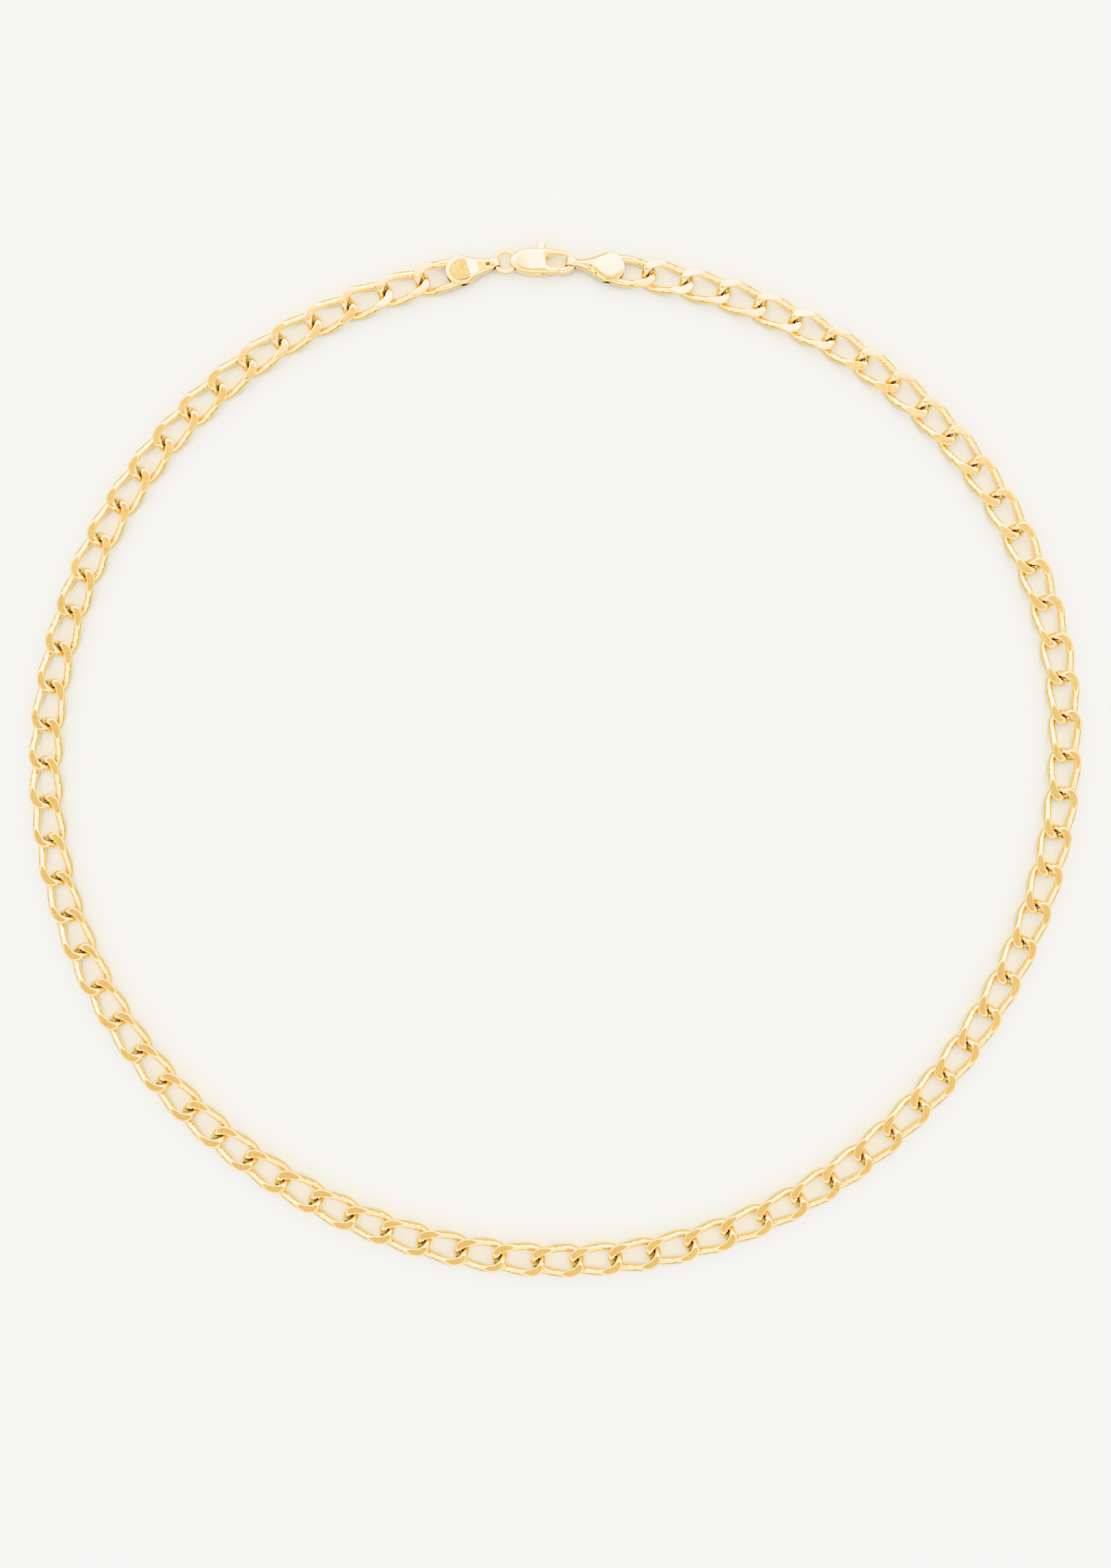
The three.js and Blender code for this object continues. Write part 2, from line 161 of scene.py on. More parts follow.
# Lobster clasp, from the jump ring's centre. The tables of heights run along it from nose to hook.
CLASP_OUTLINE = (          # from the gate's hinge round the back and over the top to the hook's tip
    (6.45, -2.05), (5.0, -2.05), (3.6, -1.98), (2.5, -1.74), (1.6, -1.32), (0.95, -0.75),
    (0.74, -0.1), (0.9, 0.55), (1.5, 1.15), (2.4, 1.58), (3.4, 1.78), (5.0, 1.84), (7.0, 1.80),
    (8.8, 1.64), (10.0, 1.32), (10.8, 0.75), (11.12, -0.1), (10.98, -0.88), (10.45, -1.52),
    (9.7, -1.88), (8.9, -2.02), (8.3, -2.05))
CLASP_CROWN = (            # height of the metal's crown above the clasp's middle plane
    (0.7, 0.8), (1.6, 0.98), (2.6, 1.09), (5.0, 1.16), (6.4, 1.12), (7.8, 0.84), (9.4, 0.57),
    (11.2, 0.54))
CLASP_WALL = (             # height of the upright wall at the metal's edges
    (0.7, 0.56), (1.6, 0.6), (2.9, 0.84), (6.4, 0.84), (8.0, 0.4), (11.1, 0.12))
CLASP_SHOULDER = (         # width over which the wall rounds into the crown
    (0.7, 1.0), (5.0, 1.1), (7.0, 0.55), (9.0, 0.5), (11.1, 0.5))
CLASP_RISE = 0.1           # of the clasp's middle plane above the chain's
CLASP_LEVEL = 0.0          # heading of the finished clasp, which lies level
CLASP_SEAM = 0.002         # half the gap between the two cheeks where they meet
OPENING_CENTRE = (8.12, -0.05)
OPENING_HALF = (1.73, 1.05)
OPENING_POWER = 3.2
METAL_FROM = (-84.9, -5, 90, 125, 160, 184, 230.1)  # bearings of the outline from the opening's centre
METAL_TO = (-48.7, -5, 91, 140, 172, 185, 205)      # bearings on the opening that they lead to
SLOT_HALF = 0.75
SLOT_FROM = 3.3
SLOT_TO = 6.5
SLOT_FLOOR = -1.3          # the slot is closed below this, behind the gate
SLOT_MOUTH = 5.75
SLOT_EDGE = 0.1            # width of the slot's sloped ends
SLOT_FRONT_EDGE = 0.12
RING_ROOM = (2.05, 2.2)    # the cheeks are hollowed inside this radius, for the ring's wire
RING_ROOM_HALF = 0.5
NOSE_RADIUS = 0.72         # of the band round the ring's wire
NOSE_THICKNESS = 0.42
NOSE_WIDTH = 1.44
NOSE_POWER = 3.2
NOSE_STEPS = 72
HOOK_AT = (10.44, 0.437, 0)  # place of the right cap's eye in the hook
LEVER_KNOTS = (            # middle line and half width, from the thumb tab to the gate's tip
    (5.86, 3.22, 0.62), (5.82, 2.9, 0.63), (5.72, 2.3, 0.62), (5.5, 1.5, 0.64), (5.15, 0.6, 0.72),
    (5.05, -0.1, 0.75), (5.55, -0.75, 0.60), (6.15, -1.36, 0.56), (6.9, -1.5, 0.46),
    (7.8, -1.5, 0.42), (8.58, -1.5, 0.42))
LEVER_STEPS = 96
LEVER_AVERAGE = 13         # neighbouring steps that are averaged, to round the bends
LEVER_HALF_DEPTH = 0.65
LEVER_POWER = 4.2
TAB_ROUND = 0.55           # length over which the thumb tab's end is round, seen from above
TAB_THINS = 0.3            # and seen from the side
TIP_ROUND = 0.08           # length over which the gate's tip is rounded
TIP_SLANTS = (7.4, 8.5)    # the gate's end slants over this
TIP_SLANT = 0.72
GATE_LINE = -1.5           # the gate's middle line, across the clasp

# Finishes
CLOUD_SCALE = 260.0
LINES_SCALE = 9000.0
DENTS_SCALE = 1500.0
LINES_DULL = 0.05          # roughness added by lapping lines
DENTS_DULL = 0.03          # and by tool marks
SHADE_COLOUR = (0.11, 0.066, 0.018)  # painted shade: deep between links, and in the caps' grooves

# Stage. Lengths are in metres, and heights in the tent are the upward part of a direction.
PAPER_HALF = 9.0           # half the side of the sheet
PAPER_COLOUR = (0.43, 0.43, 0.4275, 1)
PAPER_MIRRORED = 1.1       # brightness of the paper where the metal mirrors it
TENT = (2.9, 6.2)          # brightness from the near side to the far side, where it is mirrored
TENT_EVEN = (2.0, 4.05)    # the same where it lights the paper
TENT_COLOUR = (1, 1, 0.995, 1)
FAR_BOX = (0.26, 0.33, 24)  # a bright band of the tent: where it starts, where it is full, how bright
NEAR_BOX = (-0.42, -0.5, 6)
BOXES_ABOVE = (0.45, 0.55)  # height from which the bands show
TENT_FOOT = (0.28, 0.42)   # height at which the tent's dim foot ends
FOOT_SHARE = 0.09          # share of the tent's brightness that the foot has
PATCH_WAY = (-0.03, 0.02, 0.999)  # middle of the dim patch overhead
PATCH_EDGE = (0.885, 0.90)  # cosines from its middle: where it starts, and where it is full
PATCH_BRIGHTNESS = 0.92
CUT_OFF_WAY = (0.3, 0.954, 0)  # the patch is cut off square to this way
CUT_OFF_EDGE = (0.283, 0.292)
CAMERA_HEIGHT = 0.240
CAMERA_NEARER = 0.004      # from the loop's middle, towards the wearer
LENGTH_IN_VIEW = 0.2475    # from front to back, at the height of the chain's middle
CHAIN_MIDDLE = 0.0011      # height of the chain's middle above the floor
SENSOR = 36.0


# ---------------------------------------------------------------- mesh making

def signed_power(value, power):
    """The power of value's size, with value's sign."""
    return np.sign(value) * np.abs(value) ** power


def unit(vectors):
    """Each vector divided by its length."""
    return vectors / np.linalg.norm(vectors, axis=-1, keepdims=True)


def soft_min(a, b, width):
    """The lesser of a and b, with the corner between them rounded over width."""
    overlap = np.clip(width - np.abs(a - b), 0, None)
    return np.minimum(a, b) - overlap ** 2 / (4 * width)


def smooth_step(value, low, high):
    """0 up to low, 1 from high on, and 3t^2 - 2t^3 between, where t is the share of the way."""
    t = np.clip((value - low) / (high - low), 0, 1)
    return t * t * (3 - 2 * t)


def through(x, knots):
    """A smooth curve through knots (x, y): cubic pieces, whose slope at a knot is that of the line
    between its neighbours."""
    kx, ky = np.array(knots, float).T
    slope = np.gradient(ky, kx)
    i = np.clip(np.searchsorted(kx, x) - 1, 0, len(kx) - 2)
    step = kx[i + 1] - kx[i]
    t = np.clip((x - kx[i]) / step, 0, 1)
    return ((2 * t ** 3 - 3 * t ** 2 + 1) * ky[i] + (t ** 3 - 2 * t ** 2 + t) * step * slope[i]
            + (3 * t ** 2 - 2 * t ** 3) * ky[i + 1] + (t ** 3 - t ** 2) * step * slope[i + 1])


def along_table(x, knots):
    """Straight lines through knots (x, y)."""
    return np.interp(x, *np.array(knots, float).T)


def quarter_oval(distance, width):
    """0 at distance 0 and 1 from width on, rising between as a quarter of an oval."""
    return np.sqrt(1 - (1 - np.clip(distance / width, 0, 1)) ** 2)


def travel_along(points):
    """Length along a path up to each of its points."""
    return np.concatenate([[0], np.cumsum(np.linalg.norm(np.diff(points, axis=0), axis=1))])


def smooth_line(corners, steps):
    """Equally spaced points on a smooth curve through the corners."""
    corners = np.array(corners, float)
    travel = travel_along(corners)
    dense = np.linspace(0, travel[-1], 1601)
    curve = np.stack([through(dense, np.stack([travel, c], axis=1)) for c in corners.T], axis=1)
    far = travel_along(curve)
    at = np.linspace(0, far[-1], steps)
    return np.stack([np.interp(at, far, c) for c in curve.T], axis=1)


def grid_faces(rows, columns, closed_rows):
    """Quads of a grid whose columns close on themselves, and whose rows may."""
    last = rows if closed_rows else rows - 1
    i, j = np.meshgrid(np.arange(last), np.arange(columns), indexing="ij")
    i2, j2 = (i + 1) % rows, (j + 1) % columns
    corners = (i * columns + j, i2 * columns + j, i2 * columns + j2, i * columns + j2)
    return np.stack([c.ravel() for c in corners], axis=1)


def tube_shell(points, closed):
    """Closed shell of a grid (stations, section points, 3). An open one gets a pole at each end."""
    rows, columns = points.shape[:2]
    quads = grid_faces(rows, columns, closed)
    flat = points.reshape(-1, 3)
    if closed:
        return flat, quads, np.zeros((0, 3), int)
    poles = np.stack([points[0].mean(axis=0), points[-1].mean(axis=0)])
    j = np.arange(columns)
    j2 = (j + 1) % columns
    first, last = len(flat), len(flat) + 1
    end = (rows - 1) * columns
    start_fan = np.stack([np.full(columns, first), j, j2], axis=1)
    end_fan = np.stack([np.full(columns, last), end + j2, end + j], axis=1)
    return np.concatenate([flat, poles]), quads, np.concatenate([start_fan, end_fan])


def signed_volume(points, quads, tris):
    """A sixth of the sum of a . (b x c) over a shell's triangles. Below 0, its faces point inwards."""
    halves = np.concatenate([tris, quads[:, [0, 1, 2]], quads[:, [0, 2, 3]]])
    a, b, c = points[halves[:, 0]], points[halves[:, 1]], points[halves[:, 2]]
    return float(np.einsum("ij,ij->i", a, np.cross(b, c)).sum() / 6)


def merged(shells):
    """Several closed shells as one list of points, quads and triangles, with faces outwards."""
    points, quads, tris, start = [], [], [], 0
    for p, q, t in shells:
        if signed_volume(p, q, t) < 0:
            q, t = q[:, ::-1], t[:, ::-1]
        points.append(p)
        quads.append(q + start)
        tris.append(t + start)
        start += len(p)
    return np.concatenate(points), np.concatenate(quads), np.concatenate(tris)


def make_piece(name, shells, body, material, values, sharp=None):
    """A mesh object from closed shells, which rides on the body and replaces its node of that name.
    values are the attributes at its points, and sharp is the angle in degrees that stays sharp."""
    points, quads, tris = merged(shells)
    mesh = bpy.data.meshes.new(name)
    loops = np.concatenate([quads.ravel(), tris.ravel()])
    sizes = np.concatenate([np.full(len(quads), 4), np.full(len(tris), 3)])
    mesh.vertices.add(len(points))
    mesh.vertices.foreach_set("co", (points * MM).astype(np.float32).ravel())
    mesh.loops.add(len(loops))
    mesh.loops.foreach_set("vertex_index", loops.astype(np.int32))
    mesh.polygons.add(len(sizes))
    mesh.polygons.foreach_set("loop_start", (np.cumsum(sizes) - sizes).astype(np.int32))
    mesh.update(calc_edges=True)
    mesh.polygons.foreach_set("use_smooth", np.ones(len(sizes), bool))
    for key, value in values.items():
        layer = mesh.attributes.new(key, "FLOAT", "POINT")
        layer.data.foreach_set("value", np.asarray(value, np.float32).ravel())
    if sharp:
        mesh.set_sharp_from_angle(angle=math.radians(sharp))
    mesh.materials.append(material)
    piece = bpy.data.objects.new(name, mesh)
    bpy.context.scene.collection.objects.link(piece)
    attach(piece, body)
    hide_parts(body)


def no_recess_shade(shells):
    """The recess attribute of a piece that lies in no shadow."""
    return {"recess_shade": np.zeros(sum(len(shell[0]) for shell in shells))}


def placed(points, origin, heading):
    """Points from a piece's own frame to the necklace's: turned about Z by heading, then moved to
    origin."""
    c, s = math.cos(heading), math.sin(heading)
    return np.stack([
        origin[0] + c * points[..., 0] - s * points[..., 1],
        origin[1] + s * points[..., 0] + c * points[..., 1],
        origin[2] + points[..., 2],
    ], axis=-1)


# ---------------------------------------------------------------- materials

def new_group(name, inputs, outputs):
    group = bpy.data.node_groups.new(name, "ShaderNodeTree")
    for label, kind, default in inputs:
        socket = group.interface.new_socket(label, in_out="INPUT", socket_type=kind)
        if default is not None:
            socket.default_value = default
    for label, kind in outputs:
        group.interface.new_socket(label, in_out="OUTPUT", socket_type=kind)
    return group, group.nodes.new("NodeGroupInput"), group.nodes.new("NodeGroupOutput")


def math_node(tree, operation, first, second):
    node = tree.nodes.new("ShaderNodeMath")
    node.operation = operation
    for socket, value in zip(node.inputs, (first, second)):
        if isinstance(value, bpy.types.NodeSocket):
            tree.links.new(value, socket)
        else:
            socket.default_value = value
    return node.outputs[0]


def noise_node(tree, vector, scale, detail, roughness=0.5):
    node = tree.nodes.new("ShaderNodeTexNoise")
    tree.links.new(vector, node.inputs["Vector"])
    if isinstance(scale, bpy.types.NodeSocket):
        tree.links.new(scale, node.inputs["Scale"])
    else:
        node.inputs["Scale"].default_value = scale
    node.inputs["Detail"].default_value = detail
    node.inputs["Roughness"].default_value = roughness
    return node.outputs["Fac"]


def map_range(tree, value, low, high, to_low, to_high):
    node = tree.nodes.new("ShaderNodeMapRange")
    tree.links.new(value, node.inputs["Value"])
    for label, number in zip(("From Min", "From Max", "To Min", "To Max"),
                             (low, high, to_low, to_high)):
        node.inputs[label].default_value = number
    return node.outputs["Result"]


def stretched(tree, vector, turn, scale):
    node = tree.nodes.new("ShaderNodeMapping")
    tree.links.new(vector, node.inputs["Vector"])
    node.inputs["Rotation"].default_value = turn
    node.inputs["Scale"].default_value = scale
    return node.outputs["Vector"]


def lapping_lines_group():
    """Fine lines left by the lapping wheel, in two directions a little apart."""
    group, given, out = new_group(
        "lapping_lines",
        [("Vector", "NodeSocketVector", None), ("Scale", "NodeSocketFloat", LINES_SCALE)],
        [("Height", "NodeSocketFloat"), ("Mask", "NodeSocketFloat")])
    first = stretched(group, given.outputs["Vector"], (0, 0, 0.5), (0.05, 1, 1))
    second = stretched(group, given.outputs["Vector"], (0, 0, -0.35), (1, 0.06, 1))
    lines = math_node(group, "MULTIPLY",
                      noise_node(group, first, given.outputs["Scale"], 3),
                      noise_node(group, second, given.outputs["Scale"], 3))
    group.links.new(lines, out.inputs["Height"])
    group.links.new(map_range(group, lines, 0.18, 0.34, 0, 1), out.inputs["Mask"])
    return group


def tool_marks_group():
    """Shallow dents that pliers and the tumbler leave in drawn wire."""
    group, given, out = new_group(
        "tool_marks",
        [("Vector", "NodeSocketVector", None), ("Scale", "NodeSocketFloat", DENTS_SCALE)],
        [("Height", "NodeSocketFloat"), ("Mask", "NodeSocketFloat")])
    broad = noise_node(group, given.outputs["Vector"], given.outputs["Scale"], 1.5)
    fine_scale = math_node(group, "MULTIPLY", given.outputs["Scale"], 3.1)
    fine = noise_node(group, given.outputs["Vector"], fine_scale, 2)
    height = math_node(group, "ADD", broad, math_node(group, "MULTIPLY", fine, 0.3))
    group.links.new(height, out.inputs["Height"])
    group.links.new(map_range(group, broad, 0.35, 0.65, 0, 1), out.inputs["Mask"])
    return group


def plating_cloud_group():
    """Slow changes of the plating's tint from place to place."""
    group, given, out = new_group(
        "plating_cloud",
        [("Vector", "NodeSocketVector", None), ("Scale", "NodeSocketFloat", CLOUD_SCALE)],
        [("Mask", "NodeSocketFloat")])
    cloud = noise_node(group, given.outputs["Vector"], given.outputs["Scale"], 3)
    group.links.new(map_range(group, cloud, 0.3, 0.7, 0, 1), out.inputs["Mask"])
    return group


LAPPING = lapping_lines_group()
TOOLING = tool_marks_group()
CLOUD = plating_cloud_group()


def place_group(tree, group, vector, scale):
    node = tree.nodes.new("ShaderNodeGroup")
    node.node_tree = group
    tree.links.new(vector, node.inputs["Vector"])
    node.inputs["Scale"].default_value = scale
    return node


def mix_colour(tree, factor, first, second):
    node = tree.nodes.new("ShaderNodeMix")
    node.data_type = "RGBA"
    tree.links.new(factor, node.inputs["Factor"])
    for socket, value in ((node.inputs[6], first), (node.inputs[7], second)):
        if isinstance(value, bpy.types.NodeSocket):
            tree.links.new(value, socket)
        else:
            socket.default_value = (*value, 1)
    return node.outputs[2]


def attribute_node(tree, name):
    node = tree.nodes.new("ShaderNodeAttribute")
    node.attribute_name = name
    return node.outputs["Fac"]


def bump_node(tree, height, distance):
    node = tree.nodes.new("ShaderNodeBump")
    node.inputs["Strength"].default_value = 1.0
    node.inputs["Distance"].default_value = distance
    tree.links.new(height, node.inputs["Height"])
    return node


def metal_material(name, colour, tint, polish, marks, lines, recess_shade=False, ground_colour=None):
    """Metal. colour and tint are mixed by the plating cloud, polish is the roughness at its
    smoothest, and marks and lines are the depths in metres of the tool marks and the lapping lines.
    With recess, the attribute of that name paints shade on it. With ground_colour, the attribute ground
    says where it is lapped: it has that colour and lapping lines there, and tool marks elsewhere. The
    two colours differ by a painted highlight tint, yellower on the round wire."""
    material = bpy.data.materials.new(name)
    material.use_nodes = True
    tree = material.node_tree
    shader = tree.nodes["Principled BSDF"]
    shader.inputs["Metallic"].default_value = 1.0
    where = tree.nodes.new("ShaderNodeTexCoord").outputs["Object"]
    cloud = place_group(tree, CLOUD, where, CLOUD_SCALE)
    lapping = place_group(tree, LAPPING, where, LINES_SCALE)
    tooling = place_group(tree, TOOLING, where, DENTS_SCALE)
    dents = tooling.outputs["Height"]
    scratches = lapping.outputs["Height"]
    base = mix_colour(tree, cloud.outputs["Mask"], colour, tint)
    if ground_colour:
        ground = attribute_node(tree, "ground")
        drawn = math_node(tree, "SUBTRACT", 1.0, ground)
        # painted highlight tint: the round wire keeps the yellower colour, the ground faces take
        # ground_colour
        base = mix_colour(tree, ground, base, ground_colour)
        dents = math_node(tree, "MULTIPLY", dents, drawn)
        scratches = math_node(tree, "MULTIPLY", scratches, ground)
    # painted shade: the recess attribute mixes the colour towards SHADE_COLOUR
    if recess_shade:
        base = mix_colour(tree, attribute_node(tree, "recess_shade"), base, SHADE_COLOUR)
    tree.links.new(base, shader.inputs["Base Color"])
    rough = map_range(tree, lapping.outputs["Mask"], 0, 1, polish, polish + LINES_DULL)
    dull = math_node(tree, "MULTIPLY", tooling.outputs["Mask"], DENTS_DULL)
    tree.links.new(math_node(tree, "ADD", rough, dull), shader.inputs["Roughness"])
    deep = bump_node(tree, dents, marks)
    fine = bump_node(tree, scratches, lines)
    tree.links.new(deep.outputs["Normal"], fine.inputs["Normal"])
    tree.links.new(fine.outputs["Normal"], shader.inputs["Normal"])
    return material


# The links' drawn wire is yellower than their ground faces: a painted highlight tint.
GOLD_LINK = metal_material("gold_plate_links", (0.87, 0.665, 0.28), (0.86, 0.635, 0.24),
                           polish=0.09, marks=0.00003, lines=0.0000015, recess_shade=True,
                           ground_colour=(0.87, 0.595, 0.225))
GOLD_CAST = metal_material("gold_plate_castings", (0.87, 0.665, 0.30), (0.86, 0.645, 0.27),
                           polish=0.11, marks=0.000010, lines=0.0000006, recess_shade=True)
GOLD_PIN = metal_material("gold_plate_pin", (0.87, 0.665, 0.30), (0.86, 0.645, 0.27),
                          polish=0.12, marks=0.000008, lines=0.0000015)
STEEL = metal_material("spring_steel_strip", (0.56, 0.55, 0.53), (0.50, 0.49, 0.47),
                       polish=0.28, marks=0.000004, lines=0.000002)


# ---------------------------------------------------------------- the chain's pivots

def joint_points():
    """Where each pair of bodies hinges, by the pair and by the joint's name."""
    points = {}
    for joint in frame["joints"]:
        place = np.array(joint["pos_m"], float) / MM
        points[frozenset((joint["parent"], joint["child"]))] = place
        points[joint["name"]] = place
    return points


PIVOTS = joint_points()
CHAIN_BODIES = sorted(
    (name for name in frame["bodies"] if name.startswith("link")),
    key=lambda name: int(name.split("_")[1]))
ALONG = ["end_cap_right", *CHAIN_BODIES, "end_cap_left"]
STOPS = [PIVOTS[frozenset(pair)] for pair in zip(ALONG[:-1], ALONG[1:])]
RING_CENTRE = PIVOTS["clasp_swing"]
PIN_CENTRE = PIVOTS["lever_press"]
PITCH = float(np.linalg.norm(STOPS[1] - STOPS[0]))


def angle_of(start, end):
    """Heading from start to end, seen from above."""
    return math.atan2(end[1] - start[1], end[0] - start[0])


def inner_crossing(start, end):
    """Where the two links of a soldered pair cross: the apex of the triangle whose other two sides
    are one pitch long, on the outer side of the loop."""
    middle = (start + end) / 2
    half = np.linalg.norm(end - start) / 2
    rise = math.sqrt(max(PITCH ** 2 - half ** 2, 0))
    heading = angle_of(start, end)
    outward = np.array([-math.sin(heading), math.cos(heading), 0])
    return middle + rise * outward


# ---------------------------------------------------------------- links

def even_oval(half_length, half_width, power, steps):
    """A superellipse |x/a|^p + |y/b|^p = 1, sampled at equal lengths along it."""
    turn = np.linspace(0, 2 * np.pi, 4001)
    x = half_length * signed_power(np.cos(turn), 2 / power)
    y = half_width * signed_power(np.sin(turn), 2 / power)
    travel = np.concatenate([[0], np.cumsum(np.hypot(np.diff(x), np.diff(y)))])
    at = np.linspace(0, travel[-1], steps, endpoint=False)
    return np.interp(at, travel, x), np.interp(at, travel, y)


def snap(share):
    """A value that runs from -1 to 1 with share, quickly through the middle."""
    return np.tanh(LINK_SNAP * share) / math.tanh(LINK_SNAP)


def link_path(pressed_end, draw):
    """Middle line of a link: a squarish oval, twisted so that opposite corners rise,
    z = -lift * snap(x / a) * snap(y / b). pressed_end is the end that lies flat between a cap's
    leaves: -1, 1, or 0 for neither."""
    half_length = (PITCH + WIRE + LINK_PLAY) / 2 - LINK_TRIM
    half_width = (CHAIN_WIDTH - WIRE) / 2 * (1 + WIDTH_SPREAD * draw.normal())
    power = LINK_OVAL + OVAL_SPREAD * draw.normal()
    x, y = even_oval(half_length, half_width, power, LINK_STEPS)
    lift = LINK_LIFT * (1 + LIFT_SPREAD * draw.normal())
    if pressed_end:
        lift = lift * (1 - smooth_step(x * pressed_end, *PRESSED))
    z = -lift * snap(x / half_length) * snap(y / half_width)
    return np.stack([x, y, z], axis=1)


def link_surface(path, draw):
    """Round wire along a closed path, with both faces ground: z is softly cut at the grinding
    height, which leans a little from link to link. Returns the grid of points and the share of
    grinding there."""
    along = unit(np.roll(path, -1, axis=0) - np.roll(path, 1, axis=0))
    out = unit(np.cross(along, np.array([0, 0, 1.0])))
    up = np.cross(out, along)
    angle = np.linspace(0, 2 * np.pi, WIRE_STEPS, endpoint=False)
    travel = np.linspace(0, 2 * np.pi, LINK_STEPS, endpoint=False)[:, None]
    ripple = sum(
        draw.normal() * RIPPLE * np.sin(n * travel + m * angle[None, :] + draw.uniform(0, 6.3))
        for n, m in RIPPLE_WAVES)
    radius = WIRE / 2 - WIRE_TRIM + ripple
    points = (path[:, None, :]
              + (radius * np.cos(angle)[None, :])[..., None] * out[:, None, :]
              + (radius * np.sin(angle)[None, :])[..., None] * up[:, None, :])
    raw = points[..., 2].copy()
    tilt_x, tilt_y = np.radians(draw.normal(0, GRIND_LEAN, 2))
    for side in (1, -1):
        level = GRIND + side * (tilt_x * points[..., 0] + tilt_y * points[..., 1])
        level = np.minimum(level, GRIND_LIMIT)
        points[..., 2] = side * soft_min(side * points[..., 2], level, GRIND_SOFT)
    ground = smooth_step(np.abs(raw) - np.abs(points[..., 2]), *GRIND_CUT)
    return points, ground


def nearness(points, paths):
    """1 where a point lies close to the middle line of one of the paths, 0 where it is clear: where
    shade is painted between links.
    """
    least = np.full(points.shape[:-1], np.inf)
    for path in paths:
        for stop in path[::2]:
            least = np.minimum(least, np.linalg.norm(points - stop, axis=-1))
    return 1 - smooth_step(least, *RECESS)


def link_places():
    """Number, body and two crossings of every link, clockwise from the clasp's hook."""
    places = []
    for body, start, end in zip(CHAIN_BODIES, STOPS[:-1], STOPS[1:]):
        numbers = [int(word) for word in body.split("_")[1:]]
        if len(numbers) == 1:
            places.append((numbers[0], body, start, end))
        else:
            crossing = inner_crossing(start, end)
            places.append((numbers[0], body, start, crossing))
            places.append((numbers[1], body, crossing, end))
    return places


def add_chain():
    """Each link in turn, centred between its two crossings, with shade painted beside its neighbours.
    """
    places = link_places()
    draws = [np.random.default_rng(LINK_SEED + number) for number, *_ in places]
    paths, turned = [], []
    for (number, _, start, end), draw in zip(places, draws):
        pressed_end = {1: -1, len(places): 1}.get(number, 0)
        paths.append(link_path(pressed_end, draw))
        turned.append(placed(paths[-1], (start + end) / 2, angle_of(start, end)))
    for i, (number, body, start, end) in enumerate(places):
        points, ground = link_surface(paths[i], draws[i])
        points = placed(points, (start + end) / 2, angle_of(start, end))
        # painted shade where the link lies beside its neighbours
        neighbours = [turned[k] for k in (i - 1, i + 1) if 0 <= k < len(places)]
        make_piece(f"chain_link_{number:02d}", [tube_shell(points, closed=True)], body, GOLD_LINK,
                   {"ground": ground, "recess_shade": nearness(points, neighbours)})


add_chain()


# ---------------------------------------------------------------- end caps

def cap_half_width(x, side):
    """Half width of the leaf: half an oval behind the widest place, and a smooth taper before it."""
    round_end = np.clip((CAP_WIDEST - x) / (CAP_WIDEST - CAP_BACK), 0, 1)
    return np.where(x < CAP_WIDEST, CAP_HALF * np.sqrt(1 - round_end ** 2),
                    through(np.maximum(x, CAP_WIDEST), CAP_TAPER[side]))


def cap_rim_distance(x, y, half, side):
    """About how far a point of the leaf, whose half width at x is half, lies from its rim."""
    length = CAP_WIDEST - CAP_BACK
    narrowed = half / np.maximum(cap_half_width(x, side), 1e-6)
    share = np.hypot((x - CAP_WIDEST) / length, y / CAP_HALF / np.maximum(narrowed, 0.5))
    behind = (1 - share) * (length + CAP_HALF) / 2
    slope = (cap_half_width(x + 0.01, side) - cap_half_width(x, side)) / 0.01
    ahead = (half - np.abs(y)) / np.hypot(1, slope)
    return np.clip(np.where(x < CAP_WIDEST, behind, ahead), 0, None)


def cap_path(side):
    """The strip's middle line in the plane of its fold: back of the lower leaf, forward, round the
    eye and back along the upper leaf."""
    reach = CAP_REACH[side]
    eye = EYE_HOLE[side] + EYE_WALL[side] / 2
    back = CAP_BACK + (1 - np.cos(np.linspace(0, np.pi / 2, 26)))
    upper_x = np.concatenate([back, np.linspace(back[-1], reach, 110)[1:]])
    fold_x, fold_z = np.array(CAP_FOLDS[side]).T
    upper_z = np.interp(upper_x, fold_x, fold_z)
    turn = np.linspace(np.pi / 2, -np.pi / 2, 30)[1:-1]
    x = np.concatenate([upper_x, reach + eye * np.cos(turn), upper_x[::-1]])
    z = np.concatenate([upper_z, eye * np.sin(turn), -upper_z[::-1]])
    return x, z


